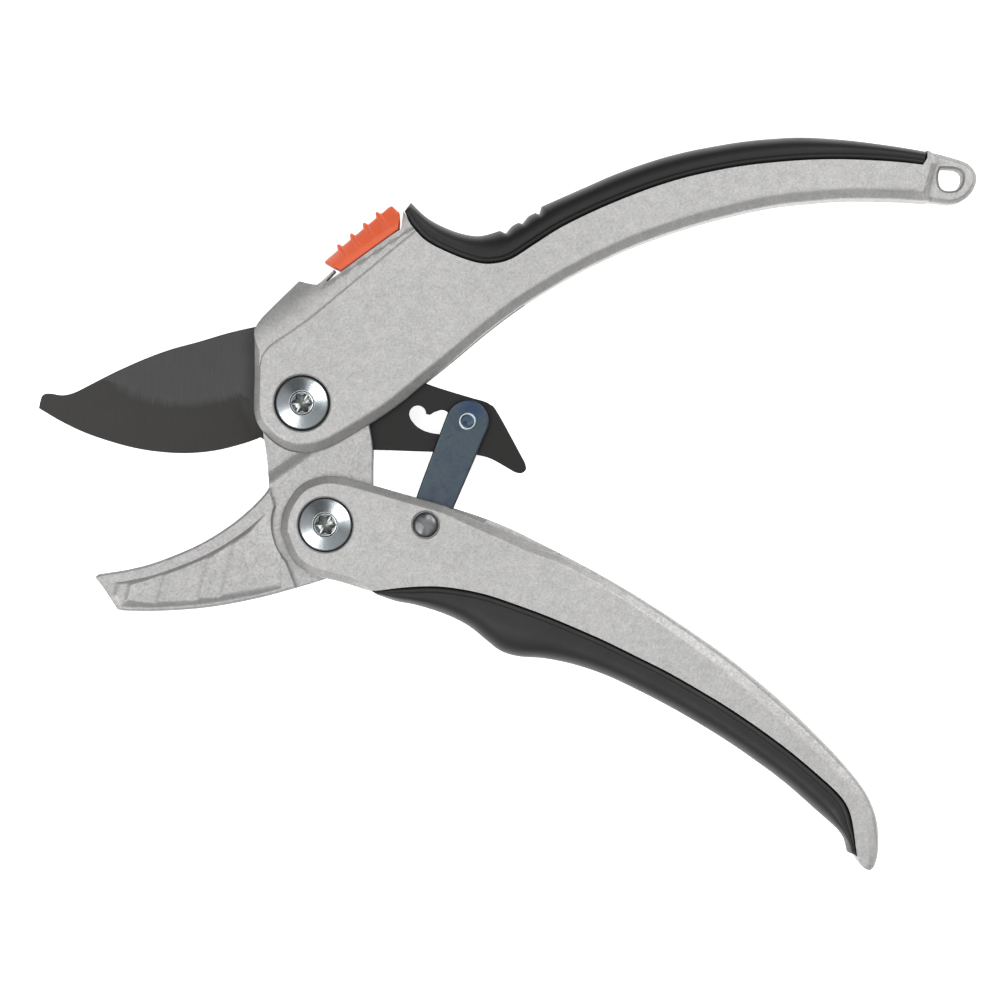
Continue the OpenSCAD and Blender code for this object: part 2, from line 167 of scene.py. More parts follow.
def resampled(loop, step, closed=True, corner=25):
    """The path with points at most step apart, on a smooth curve except at corners (in degrees)."""
    after = np.roll(loop, -1, 0) - loop
    lengths = np.linalg.norm(after, axis=1)
    ways = unit(after)
    before = np.roll(ways, 1, 0)
    soft = (ways * before).sum(1) > math.cos(math.radians(corner))
    if not closed:
        soft[0] = soft[-1] = False
    tangents = unit(ways * lengths[:, None] + before * np.roll(lengths, 1)[:, None])
    points = []
    for i in range(len(loop) if closed else len(loop) - 1):
        j = (i + 1) % len(loop)
        start = (tangents[i] if soft[i] else ways[i]) * lengths[i]
        end = (tangents[j] if soft[j] else ways[i]) * lengths[i]
        steps = max(1, math.ceil(lengths[i] / step))
        for t in np.arange(steps) / steps:
            points.append((2 * t ** 3 - 3 * t ** 2 + 1) * loop[i] + (t ** 3 - 2 * t ** 2 + t) * start
                          + (3 * t ** 2 - 2 * t ** 3) * loop[j] + (t ** 3 - t ** 2) * end)
    if not closed:
        points.append(loop[-1])
    return np.array(points)


def inset(loop, widths):
    """The loop moved inward by widths. Where that would fold it, points meet at the nearest good one."""
    widths = np.broadcast_to(widths, len(loop)).astype(float)
    before = unit(loop - np.roll(loop, 1, 0))
    after = unit(np.roll(loop, -1, 0) - loop)
    inward = unit(left_of(before) + left_of(after))
    stretch = 1 / np.maximum((inward * left_of(after)).sum(1), 0.5)
    moved = loop + inward * (widths * stretch)[:, None]
    if widths.max() <= 0:
        return moved
    good = nearest_on(moved, loop)[0] > 0.96 * widths - 0.001 * MM
    for _ in range(3):
        kept = np.flatnonzero(good)
        for i in np.flatnonzero(~good):
            apart = np.abs(kept - i)
            apart = np.minimum(apart, len(loop) - apart)
            moved[i] = moved[kept[apart.argmin()]]
        flow = ((np.roll(moved, -1, 0) - moved) * (np.roll(loop, -1, 0) - loop)).sum(1)
        back = flow < -1e-12
        good &= ~(back | np.roll(back, 1))
    return moved


def softened(values, count):
    """Values round a closed loop, averaged over 2 * count + 1 neighbours."""
    return sum(np.roll(values, k, 0) for k in range(-count, count + 1)) / (2 * count + 1)


def evened(values, count):
    """Values or points along an open path, averaged over 2 * count + 1 neighbours."""
    if values.ndim > 1:
        return np.column_stack([evened(column, count) for column in values.T])
    width = 2 * count + 1
    return np.convolve(np.pad(values, count, mode="edge"), np.ones(width) / width, "valid")


def circle(count):
    """Points of the unit circle, evenly spaced."""
    angles = np.arange(count) * 2 * math.pi / count
    return np.column_stack([np.cos(angles), np.sin(angles)])


def lifted(loop, height):
    return np.column_stack([loop, np.full(len(loop), height)])


def longest_run(flags):
    """First and last index of the longest closed-loop run of true flags; last may pass the end."""
    if flags.all():
        return 0, len(flags) - 1
    gaps = np.flatnonzero(~flags)
    spans = np.diff(np.append(gaps, gaps[0] + len(flags)))
    longest = spans.argmax()
    return gaps[longest] + 1, gaps[longest] + spans[longest] - 1


def taken_run(loop, flags):
    first, last = longest_run(flags)
    return loop[np.arange(first, last + 1) % len(loop)]


def placed(pairs, height):
    """Profile points in metres, from (inset or radius, distance above a height) in mm."""
    return [(across * MM, height + up * MM) for across, up in pairs]


# ---- solids ----

def cleaned(piece):
    """Joins points that lie together, drops faces without area and turns the rest outward."""
    bm = bmesh.new()
    bm.from_mesh(piece.data)
    bmesh.ops.remove_doubles(bm, verts=bm.verts, dist=0.002 * MM)
    bmesh.ops.dissolve_degenerate(bm, edges=bm.edges, dist=0.001 * MM)
    bmesh.ops.recalc_face_normals(bm, faces=bm.faces)
    bm.to_mesh(piece.data)
    bm.free()


def new_object(name, points, faces):
    mesh = bpy.data.meshes.new(name)
    mesh.from_pydata([tuple(map(float, p)) for p in points], [], faces)
    piece = bpy.data.objects.new(name, mesh)
    bpy.context.scene.collection.objects.link(piece)
    cleaned(piece)
    return piece


def lofted(name, rings, capped=True):
    """Closed skin through rings with equal counts of points; uncapped, the last ring joins the first."""
    count = len(rings[0])
    faces = []
    for r in range(len(rings) - 1 if capped else len(rings)):
        below = r * count
        above = (r + 1) % len(rings) * count
        for i in range(count):
            j = (i + 1) % count
            faces.append((below + i, below + j, above + j, above + i))
    if capped:
        faces.append(tuple(range(count))[::-1])
        faces.append(tuple(range((len(rings) - 1) * count, len(rings) * count)))
    return new_object(name, np.concatenate(rings), faces)


def eased(path, ease):
    """The path of (inset, height) pairs with its inner corners rounded over ease mm."""
    path = [Vector(p) for p in path]
    out = [path[0]]
    for a, b, c in zip(path, path[1:], path[2:]):
        first = b + (a - b).normalized() * min(ease * MM, 0.45 * (b - a).length)
        last = b + (c - b).normalized() * min(ease * MM, 0.45 * (c - b).length)
        out += [first, (first + 2 * b + last) / 4, last]
    return out + [path[-1]]


def layered(name, loop, profile, share=1.0):
    """Solid that stacks the loop at each (inset, height); share scales the insets point by point."""
    rings = []
    for width, height in profile:
        rings.append(lifted(inset(loop, np.asarray(share) * width) if width else loop, height))
    return lofted(name, rings)


def chamfered(low, high, width, height, ease=0.25):
    """Profile, all but low and high in mm, of a plate with a chamfer on both of its rims."""
    far = [(1.4 * width, 0), (width, 0), (0, height)]
    return eased(placed(far, low) + placed([(across, -up) for across, up in far[::-1]], high), ease)


def turned_solid(name, centre, profile, steps=96, closed=False):
    """Solid of revolution about the upright line through centre; the profile is (radius, height) pairs."""
    rings = [lifted(circle(steps) * radius + centre, height) for radius, height in profile]
    return lofted(name, rings, capped=not closed)


def knitted(piece):
    """Joins points that lie together and splits many-sided faces, so that the next cut works cleanly."""
    bm = bmesh.new()
    bm.from_mesh(piece.data)
    bmesh.ops.remove_doubles(bm, verts=bm.verts, dist=0.002 * MM)
    bmesh.ops.triangulate(bm, faces=[face for face in bm.faces if len(face.verts) > 4])
    bmesh.ops.remove_doubles(bm, verts=bm.verts, dist=0.002 * MM)
    bm.to_mesh(piece.data)
    bm.free()


def combined(piece, others, operation="DIFFERENCE"):
    """Cuts the others away from the piece, or joins them to it, one after another."""
    for other in others:
        step = piece.modifiers.new("combine", "BOOLEAN")
        step.operation = operation
        step.solver = "EXACT"
        step.object = other
        graph = bpy.context.evaluated_depsgraph_get()
        mesh = bpy.data.meshes.new_from_object(piece.evaluated_get(graph))
        piece.modifiers.clear()
        piece.data = mesh
        bpy.data.objects.remove(other)
        knitted(piece)


def smoothed(piece, sharp):
    """Smooth shading with crisp edges where faces meet at more than sharp degrees."""
    cleaned(piece)
    bm = bmesh.new()
    bm.from_mesh(piece.data)
    for face in bm.faces:
        face.smooth = True
    for edge in bm.edges:
        edge.smooth = len(edge.link_faces) == 2 and edge.calc_face_angle(0) < math.radians(sharp)
    bm.to_mesh(piece.data)
    bm.free()
    piece.modifiers.new("weighted", "WEIGHTED_NORMAL").keep_sharp = True


def recess_cutter(centre, radius, floor, face, flare, out):
    """Cutter for a round recess, flared by mm where it meets the face; out is +1 upward, -1 downward."""
    r = radius / MM
    rim = [(r, -out * flare), (r + flare, 0), (r + flare, out * 2), (0, out * 2)]
    return turned_solid("recess", centre, [(0, floor), (radius, floor)] + placed(rim, face))


def flared_cutters(loops, step, low, high, flare):
    """Cutters for holes through a plate from low to high, flared by mm at both of its faces."""
    profile = placed([(-flare, -2), (-flare, 0), (0, flare)], low)
    profile += placed([(0, -flare), (-flare, 0), (-flare, 2)], high)
    return [layered("hole", resampled(loop, step * MM), profile) for loop in loops]


def sheet_cutter(places, count, depths, face, out):
    """Cutter for depths in mm under a face, at rows of count places; out is +1 upward, -1 downward."""
    total = len(places)
    rows = total // count
    floor = np.column_stack([places, face - out * depths * MM])
    points = np.vstack([floor, lifted(places, face + out * 4 * MM)])
    faces = []
    for i in range(rows - 1):
        for j in range(count - 1):
            a, b = i * count + j, (i + 1) * count + j
            faces.append((a, a + 1, b + 1, b))
            faces.append((total + a, total + b, total + b + 1, total + a + 1))
    rim = [i * count for i in range(rows)]
    rim += [(rows - 1) * count + j for j in range(1, count)]
    rim += [i * count + count - 1 for i in range(rows - 2, -1, -1)]
    rim += list(range(count - 2, 0, -1))
    faces += [(a, b, total + b, total + a) for a, b in zip(rim, rim[1:] + rim[:1])]
    return new_object("sheet", points, faces)


def radius_of(node):
    low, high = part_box(node)
    return (high.x - low.x) / 2


# ---- materials ----

def fed(tree, socket, value):
    """Links an output to the socket, or sets the socket to a plain value."""
    if isinstance(value, bpy.types.NodeSocket):
        tree.links.new(value, socket)
    elif socket.type == "RGBA":
        socket.default_value = (*value, 1)
    else:
        socket.default_value = value


def all_fed(tree, made, inputs):
    """The node with its inputs fed; an underscore in an input's name stands for a space."""
    for name, value in inputs.items():
        fed(tree, made.inputs[name.replace("_", " ")], value)
    return made


def shader_node(tree, kind, **inputs):
    return all_fed(tree, tree.nodes.new("ShaderNode" + kind), inputs)


def noise_size(tree, coords, size, detail=3.0, roughness=0.5, distortion=0.0):
    """Noise whose features are about size metres across."""
    noise = shader_node(tree, "TexNoise", Vector=coords, Scale=1 / size, Detail=detail,
                        Roughness=roughness, Distortion=distortion)
    return noise.outputs["Fac"]


def stops(tree, value, points):
    """Colour ramp on a value; the points are (place, colour) with a grey number or a colour."""
    ramp = tree.nodes.new("ShaderNodeValToRGB")
    elements = ramp.color_ramp.elements
    while len(elements) < len(points):
        elements.new(0.5)
    for element, (place, colour) in zip(elements, points):
        element.position = place
        element.color = (*colour, 1) if isinstance(colour, tuple) else (colour, colour, colour, 1)
    tree.links.new(value, ramp.inputs["Fac"])
    return ramp.outputs["Color"]


def mixed(tree, share, first, second, blend="MIX"):
    mix = tree.nodes.new("ShaderNodeMix")
    mix.data_type = "RGBA"
    mix.blend_type = blend
    for index, value in ((0, share), (6, first), (7, second)):
        if isinstance(value, bpy.types.NodeSocket):
            tree.links.new(value, mix.inputs[index])
        else:
            mix.inputs[index].default_value = (*value, 1) if isinstance(value, tuple) else value
    return mix.outputs[2]


def shaded(tree, share, colour, value, darkest):
    """The colour, darkened by share towards the darkest grey where the value is low."""
    return mixed(tree, share, colour, stops(tree, value, [(0.35, darkest), (0.65, 1.0)]), "MULTIPLY")


def ranged(tree, value, low, high, start=0.0, end=1.0):
    """The value from low to high, spread from start to end."""
    spread = shader_node(tree, "MapRange", Value=value, From_Min=low, From_Max=high, To_Min=start,
                         To_Max=end)
    return spread.outputs["Result"]


def split_up(tree, vector):
    return shader_node(tree, "SeparateXYZ", Vector=vector).outputs


def math_step(tree, operation, *values):
    step = tree.nodes.new("ShaderNodeMath")
    step.operation = operation
    for socket, value in zip(step.inputs, values):
        fed(tree, socket, value)
    return step.outputs[0]


def distance_from(tree, vector, place):
    away = tree.nodes.new("ShaderNodeVectorMath")
    away.operation = "DISTANCE"
    away.inputs[1].default_value = place
    tree.links.new(vector, away.inputs[0])
    return away.outputs["Value"]


def surfaced(tree, shader, colour, uneven, roughness, bumps):
    """Feeds the shader its colour, its roughness and its bumps.

    The roughness is a pair, for low and for high places of the uneven value. The bumps are
    (height, distance in metres, strength), one on another.
    """
    tree.links.new(colour, shader.inputs["Base Color"])
    rough = stops(tree, uneven, [(0.3, roughness[0]), (0.7, roughness[1])])
    tree.links.new(rough, shader.inputs["Roughness"])
    below = {}
    for height, distance, strength in bumps:
        bump = shader_node(tree, "Bump", Height=height, Distance=distance, Strength=strength, **below)
        below = {"Normal": bump.outputs["Normal"]}
    tree.links.new(below["Normal"], shader.inputs["Normal"])


def new_material(name, **inputs):
    """A material, its tree, its shader with these inputs, and its object coordinates."""
    material = bpy.data.materials.new(name)
    material.use_nodes = True
    tree = material.node_tree
    shader = all_fed(tree, tree.nodes["Principled BSDF"], inputs)
    return material, tree, shader, shader_node(tree, "TexCoord").outputs["Object"]


def cast_metal(name, light, dark, grain):
    """Shot-blasted light alloy: fine pitted grain, small bright flakes and broad soft clouding."""
    material, tree, shader, coords = new_material(name, Metallic=0.75)
    fine = noise_size(tree, coords, grain, detail=4, roughness=0.65)
    middling = noise_size(tree, coords, 2.2 * MM)
    broad = noise_size(tree, coords, 22 * MM, detail=2)
    flakes = shader_node(tree, "TexVoronoi", Vector=coords, Scale=1 / (0.55 * MM)).outputs["Color"]
    base = stops(tree, fine, [(0.3, dark), (0.52, light), (0.75, tuple(1.1 * part for part in light))])
    clouded = shaded(tree, 0.5, base, middling, 0.82)
    broadly = shaded(tree, 0.35, clouded, broad, 0.85)
    flaked = mixed(tree, 0.30, broadly, stops(tree, flakes, [(0.0, 0.35), (1.0, 0.65)]), "OVERLAY")
    bumps = [(fine, 0.06 * MM, 0.4), (middling, 0.22 * MM, 0.16)]
    surfaced(tree, shader, flaked, fine, (0.62, 0.44), bumps)
    return material


def rubber(name, dark, light):
    """Soft moulded rubber with a fine matt texture and faint rubbed patches."""
    material, tree, shader, coords = new_material(name, Specular_IOR_Level=0.35)
    fine = noise_size(tree, coords, 0.22 * MM, detail=2)
    patches = noise_size(tree, coords, 9 * MM, detail=4, roughness=0.6)
    colour = mixed(tree, stops(tree, patches, [(0.4, 0.0), (0.75, 1.0)]), dark, light)
    grained = shaded(tree, 0.3, colour, fine, 0.6)
    surfaced(tree, shader, grained, patches, (0.5, 0.38), [(fine, 0.03 * MM, 0.35)])
    return material


def coated_steel(name):
    """Blade steel under a dark coating, with grinding lines and mottling; shade is painted in, deeper on
    faces tilted from level such as the ground bevels, and as the handle's shadow from the blade's bolt
    towards the handle.
    """
    material, tree, shader, coords = new_material(name, Specular_IOR_Level=0.3)
    slant = (0, 0, math.radians(8))
    stretch = shader_node(tree, "Mapping", Vector=coords, Scale=(1.0, 0.08, 1.0), Rotation=slant)
    streaks = noise_size(tree, stretch.outputs["Vector"], 0.35 * MM)
    fine = noise_size(tree, coords, 0.3 * MM)
    patches = noise_size(tree, coords, 14 * MM, detail=4, roughness=0.6)
    # painted shade: faces tilted a few degrees from level, as on the ground bevels, take the deeper colour,
    # as if they got less light
    upright = math_step(tree, "ABSOLUTE", split_up(tree, coords.node.outputs["Normal"])["Z"])
    flat = ranged(tree, upright, 0.9955, 0.9985)
    # painted shadow: from the blade's bolt towards the handle the blade fades to near black, the handle's
    # shadow over it
    bolt_x = pivot("blade_pivot")[0]
    handle_shadow_share = ranged(tree, split_up(tree, coords)["X"], bolt_x - 12 * MM, bolt_x + 12 * MM)
    colour = mixed(tree, flat, (0.0265, 0.0245, 0.0230), (0.056, 0.056, 0.055))
    handle_shadowed = mixed(tree, handle_shadow_share, colour, (0.0085, 0.0075, 0.0068))
    streaked = shaded(tree, 0.25, shaded(tree, 0.5, handle_shadowed, patches, 0.8), streaks, 0.65)
    bumps = [(streaks, 0.015 * MM, 0.2), (fine, 0.03 * MM, 0.2)]
    surfaced(tree, shader, streaked, fine, (0.5, 0.42), bumps)
    return material


def bright_zinc(name, light, dark, roughness, sunk, reach):
    """Turned bright-zinc steel, stained, with round turning marks about the piece's own origin.

    Within reach of that origin, and below the face, it takes the sunk colour: shade painted into a bolt's
    socket and into the rivet's sunk middle.
    """
    material, tree, shader, coords = new_material(name, Metallic=1.0, Anisotropic=0.7)
    tangent = tree.nodes.new("ShaderNodeTangent")
    tangent.direction_type = "RADIAL"
    tangent.axis = "Z"
    tree.links.new(tangent.outputs["Tangent"], shader.inputs["Tangent"])
    marks = shader_node(tree, "TexWave", Vector=coords, Scale=1 / (0.9 * MM), Distortion=1.5)
    marks.wave_type = "RINGS"
    marks.rings_direction = "Z"
    stains = noise_size(tree, coords, 2.5 * MM, detail=4, roughness=0.6)
    x, y, z = split_up(tree, coords)
    across = math_step(tree, "MULTIPLY", x, x)
    radius = math_step(tree, "SQRT", math_step(tree, "MULTIPLY_ADD", y, y, across))
    inside = math_step(tree, "LESS_THAN", radius, reach)
    below = math_step(tree, "LESS_THAN", z, -0.18 * MM)
    colour = mixed(tree, stains, dark, light)
    # painted shade: inside the reach and below the face the colour turns to the sunk colour, standing for
    # the shade in a bolt's socket and in the rivet's sunk middle
    hollow_shaded = mixed(tree, math_step(tree, "MULTIPLY", inside, below), colour, sunk)
    bumps = [(marks.outputs["Fac"], 0.008 * MM, 0.35), (stains, 0.03 * MM, 0.2)]
    surfaced(tree, shader, hollow_shaded, stains, (roughness + 0.12, roughness), bumps)
    return material


def plated_link(name):
    """Stamped steel with a bluish zinc plating: clouded, bluer beside the pin, with fine rolled grain."""
    material, tree, shader, coords = new_material(name, Metallic=1.0)
    cloud = noise_size(tree, coords, 5 * MM, detail=4, roughness=0.6, distortion=0.6)
    fine = noise_size(tree, coords, 0.35 * MM)
    tint = stops(tree, cloud, [(0.32, (0.056, 0.070, 0.094)), (0.45, (0.068, 0.085, 0.107)),
                               (0.56, (0.070, 0.090, 0.104)), (0.68, (0.056, 0.087, 0.094))])
    x, y = middle("ratchet_pin")
    away = distance_from(tree, coords, (x + 1.0 * MM, y + 2.6 * MM, heights("link_plate_near")[1]))
    blued = mixed(tree, ranged(tree, away, 1.0 * MM, 3.6 * MM, 0.75, 0.0), tint, (0.034, 0.056, 0.118))
    grained = shaded(tree, 0.35, blued, fine, 0.7)
    surfaced(tree, shader, grained, cloud, (0.46, 0.34), [(fine, 0.02 * MM, 0.3)])
    return material


def plain_metal(name, dark, light, roughness, grain=0.5 * MM):
    """Small metal pieces: clouded colour, uneven polish and a fine surface grain."""
    material, tree, shader, coords = new_material(name, Metallic=1.0)
    cloud = noise_size(tree, coords, 2 * MM, detail=4, roughness=0.6)
    fine = noise_size(tree, coords, grain)
    colour = mixed(tree, cloud, dark, light)
    surfaced(tree, shader, colour, cloud, (roughness + 0.1, roughness), [(fine, 0.03 * MM, 0.3)])
    return material


def plain_plastic(name, dark, light, roughness):
    """Moulded plastic with soft clouding and a faint spark-eroded texture."""
    material, tree, shader, coords = new_material(name)
    cloud = noise_size(tree, coords, 4 * MM)
    fine = noise_size(tree, coords, 0.25 * MM, detail=2)
    colour = mixed(tree, cloud, dark, light)
    surfaced(tree, shader, colour, fine, (roughness + 0.08, roughness), [(fine, 0.03 * MM, 0.3)])
    return material


MATERIALS = {name: make(name, *values) for name, make, *values in (
    ("cast_aluminium", cast_metal, (0.482, 0.477, 0.468), (0.411, 0.407, 0.399), 0.45 * MM),
    ("jaw_casting", cast_metal, (0.448, 0.442, 0.437), (0.384, 0.379, 0.375), 0.55 * MM),
    # the upper grip's rubber is a deeper black than the lower grip's: both are the same rubber, with the
    # upper grip's shade painted into its colour
    ("upper_grip_rubber", rubber, (0.0088, 0.0083, 0.0086), (0.0132, 0.0123, 0.0127)),
    ("lower_grip_rubber", rubber, (0.0142, 0.0142, 0.0146), (0.0204, 0.0204, 0.0213)),
    ("coated_blade_steel", coated_steel),
    # the bolts' last colour, with its reach, is painted shade for the inside of their sockets
    ("bright_zinc", bright_zinc, (0.44, 0.475, 0.49), (0.35, 0.385, 0.40), 0.14,
     (0.17, 0.18, 0.17), 2.3 * MM),
    ("black_washer", plain_plastic, (0.006, 0.006, 0.006), (0.012, 0.012, 0.012), 0.5),
    ("dark_washer", plain_metal, (0.03, 0.032, 0.035), (0.06, 0.063, 0.067), 0.4),
    ("white_washer", plain_plastic, (0.70, 0.67, 0.60), (0.78, 0.75, 0.68), 0.45),
    ("bronze_bush", plain_metal, (0.35, 0.21, 0.08), (0.46, 0.29, 0.12), 0.3),
    ("blue_zinc", plated_link),
    # the rivet's last colour, with its reach, is painted shade, bluish, for its sunk middle
    ("rivet_zinc", bright_zinc, (0.50, 0.55, 0.58), (0.38, 0.43, 0.47), 0.3,
     (0.055, 0.078, 0.115), 1.45 * MM),
    ("pin_steel", plain_metal, (0.09, 0.093, 0.095), (0.24, 0.245, 0.25), 0.34, 0.8 * MM),
    ("spring_steel", plain_metal, (0.22, 0.23, 0.24), (0.34, 0.35, 0.37), 0.3),
    ("strip_steel", plain_metal, (0.26, 0.26, 0.25), (0.42, 0.42, 0.40), 0.35),
    ("orange_plastic", plain_plastic, (0.675, 0.099, 0.033), (0.76, 0.126, 0.042), 0.42),
)}


def dressed(piece, body, slot, node, sharp=30):
    """Gives the piece its shading, its finish and its place in the frame; it stands for its CAD node."""
    smoothed(piece, sharp)
    piece.data.materials.clear()
    piece.data.materials.append(MATERIALS[slot])
    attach(piece, body)
    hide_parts(node)


# ---- castings ----

LOW, HIGH = heights("upper_handle")
CHAMFER = 2.1  # mm
SLIM = 0.8  # the lower handle's chamfer, as a share of the upper one's
CAP_INSET = 1.1  # how far in its level face begins, as a share of its chamfer's width
OUTLINE_STEP = 0.7 * MM
SHANK = 3.05  # radius in mm of the holes for the bolts
JAW_STEP = 1.5 * MM  # from the jaw's outer faces down to its plate
RIM_FOOT, RIM_TOP = 0.77, 0.69  # where the lower handle's facet has its fine step, as shares of its fall


def casting_outline(node, height):
    return resampled(outlines(node, height)[0], OUTLINE_STEP)


def opened_side(open_loop, full_loop, far_corners, reach=3 * MM):
    """Cutter outline for a channel that is open to one side: its inner wall, closed round the outside."""
    inside = nearest_on(open_loop, full_loop)[0] > 0.03 * MM
    first, last = longest_run(inside)
    wall = open_loop[np.arange(first - 1, last + 2) % len(open_loop)]
    wall[0] += unit(wall[0] - wall[1]) * reach
    wall[-1] += unit(wall[-1] - wall[-2]) * reach
    loop = np.vstack([wall, far_corners(wall[-1], wall[0])])
    return loop if area_of(loop) > 0 else loop[::-1]


def away_left(end, start):
    """Corners that close a channel's outline round the open left of the shears."""
    left, top, bottom = cad_low.x - 10 * MM, cad_high.y + 10 * MM, cad_low.y - 10 * MM
    upper, lower = (end, start) if end[1] > start[1] else (start, end)
    corners = [(upper[0], top), (left, top), (left, bottom), (lower[0], bottom)]
    return corners if end is upper else corners[::-1]


def away_up(end, start):
    """Corners that close an outline over the top of the lower handle."""
    top = max(end[1], start[1]) + 20 * MM
    return [(end[0], top), (start[0], top)]


def chamfer_share(loop, border_node, narrow):
    """How much of the chamfer each point of an outline has: none against a grip, less on narrow parts."""
    away = nearest_on(loop, outlines(border_node, FAR_CHEEK_CUT)[0])[0]
    outward = -left_of(unit(np.roll(loop, -1, 0) - np.roll(loop, 1, 0)))
    room = np.maximum(0.5 * away / (CAP_INSET * SLIM * CHAMFER * MM), 0.35)
    return np.where(away > 0.25 * MM, np.minimum(narrow(loop, outward), room), 0)


def bore(node, radius):
    """Cutter for a hole of this radius in mm on the node's axis, through both faces."""
    return turned_solid("bore", middle(node), [(radius * MM, LOW - MM), (radius * MM, HIGH + MM)])


def head_recess(bolt, washer):
    return recess_cutter(middle(bolt), radius_of(washer) + 0.05 * MM, heights(washer)[0], HIGH, 0.3, 1)


def nut_recess(bolt, nut):
    return recess_cutter(middle(bolt), radius_of(nut) + 0.4 * MM, heights(nut)[1] + 0.1 * MM, LOW, 0.3, -1)


def head_slope_cutter(out):
    """Takes the head's face down beyond a fine step beside the thumb slider; out picks the face."""
    origin, along, across = slide_frame()
    line = MM * np.array([(-24.5, -10.5), (-22.3, -7.4), (-20.6, -5.6), (-18.0, -4.75), (-12.6, -4.6),
                          (-7.2, -4.4), (6.0, -3.0), (19.7, -1.5), (24.0, -1.1)])
    stations = resampled(line, 0.5 * MM, closed=False)
    steps = MM * np.concatenate([[-0.05, 0.14, 0.22, 0.45], np.arange(0.8, 16.1, 0.45)])
    places = np.array([station + np.array([0, step]) for station in stations for step in steps])
    beyond = np.tile(steps, len(stations)) / MM
    slope = 0.20 + 0.03 * beyond + 0.0125 * np.maximum(0, beyond - 0.8) ** 2.55
    groove = np.interp(beyond, (-0.05, 0.14, 0.22, 0.45), (-0.26, 0.16, 0.16, 0.0))
    across_lip = np.clip((places[:, 1] / MM + 0.12) / 0.24, 0, 1)
    along_lip = np.clip((places[:, 0] / MM + 1.5) / 1.5, 0, 1)
    fall = slope + groove + 0.4 * across_lip * along_lip
    points = origin + places[:, :1] * along + places[:, 1:] * across
    return sheet_cutter(points, len(steps), fall, HIGH if out > 0 else LOW, out)


def upper_share(loop, outward):
    """The head's left side has a narrower chamfer, and the sloped edge by the thumb slider has none."""
    origin, along, across = slide_frame()
    side = (loop - origin) @ across
    near = (loop - origin) @ along < 22 * MM
    sloped = near & ((side > -2 * MM) | ((side > -6 * MM) & (outward @ across > 0.78)))
    west = np.clip(-outward[:, 0], 0, 1) ** 2 * (loop[:, 0] < -50 * MM)
    share = np.where(sloped, 0, 1 - 0.35 * west)
    loop_side = (outward[:, 0] > 0.7) & (loop[:, 0] > 90 * MM)
    return np.where(loop_side, 0.62, share)


def upper_casting():
    full = casting_outline("upper_handle", FAR_CHEEK_CUT)
    share = softened(chamfer_share(full, "upper_grip", upper_share), 2)
    piece = layered("upper_casting", full, chamfered(LOW, HIGH, CHAMFER, 1.7, 0.45), share)
    thin = outlines("upper_handle", CHANNEL_CUT)[0]
    ring_start, hole_start = 90.5 * MM, 95 * MM
    ring_low, ring_high = 3.5 * MM, 10.5 * MM
    ring = resampled(taken_run(thin, thin[:, 0] > ring_start), 0.6 * MM, closed=False)
    combined(piece, [layered("hanger", ring, chamfered(ring_low, ring_high, 0.9, 0.9))], "UNION")
    holes = [loop for loop in outlines("upper_handle", MIDDLE_CUT) if loop[:, 0].min() > hole_start]
    channel = opened_side(resampled(thin, OUTLINE_STEP), full, away_left)
    jaw_low, jaw_high = heights("lower_jaw")
    combined(piece, flared_cutters(holes[:1], 0.4, ring_low, ring_high, 0.5) + [
        layered("channel", channel, [(0, jaw_low + JAW_STEP), (0, jaw_high - JAW_STEP)]),
        head_slope_cutter(1),
        head_slope_cutter(-1),
        bore("blade_bolt", SHANK),
        head_recess("blade_bolt", "blade_bolt_washer"),
        nut_recess("blade_bolt", "blade_nut"),
    ])
    dressed(piece, "frame", "cast_aluminium", "upper_handle")


def lower_share(loop, outward):
    """The chamfer widens to a broad facet along the tail's upper edge, and narrows again round its end."""
    wide = np.interp(loop[:, 0] / MM, (-8, 21, 48, 66, 77, 82), (1.0, 1.2, 1.7, 2.15, 2.4, 2.2))
    end = np.interp(loop[:, 1] / MM, (-83, -76, -70), (0.9, 1.5, 4.0))
    upper_edge = outward[:, 1] > -0.35
    return np.where(upper_edge & (loop[:, 0] > -8 * MM), np.minimum(wide, end), 1.0)


def flattened(cheek, height):
    """Towards the tail, makes a cheek's facet shallower and sets off a fine flat rim along its foot."""
    for vertex in cheek.data.vertices:
        shallow = np.interp(vertex.co.x / MM, (15, 40, 62, 76), (1.0, 0.8, 0.5, 0.42))
        rim = np.interp(vertex.co.x / MM, (4, 18), (0, 1))
        for face, out in ((HIGH, 1), (LOW, -1)):
            below = out * (face - vertex.co.z)
            if below < height + 0.01 * MM:
                stepped = height * np.interp(below / height, (0, RIM_TOP, RIM_FOOT, 1), (0, 0.52, 0.97, 1))
                vertex.co.z = face - out * shallow * (below + (stepped - below) * rim)


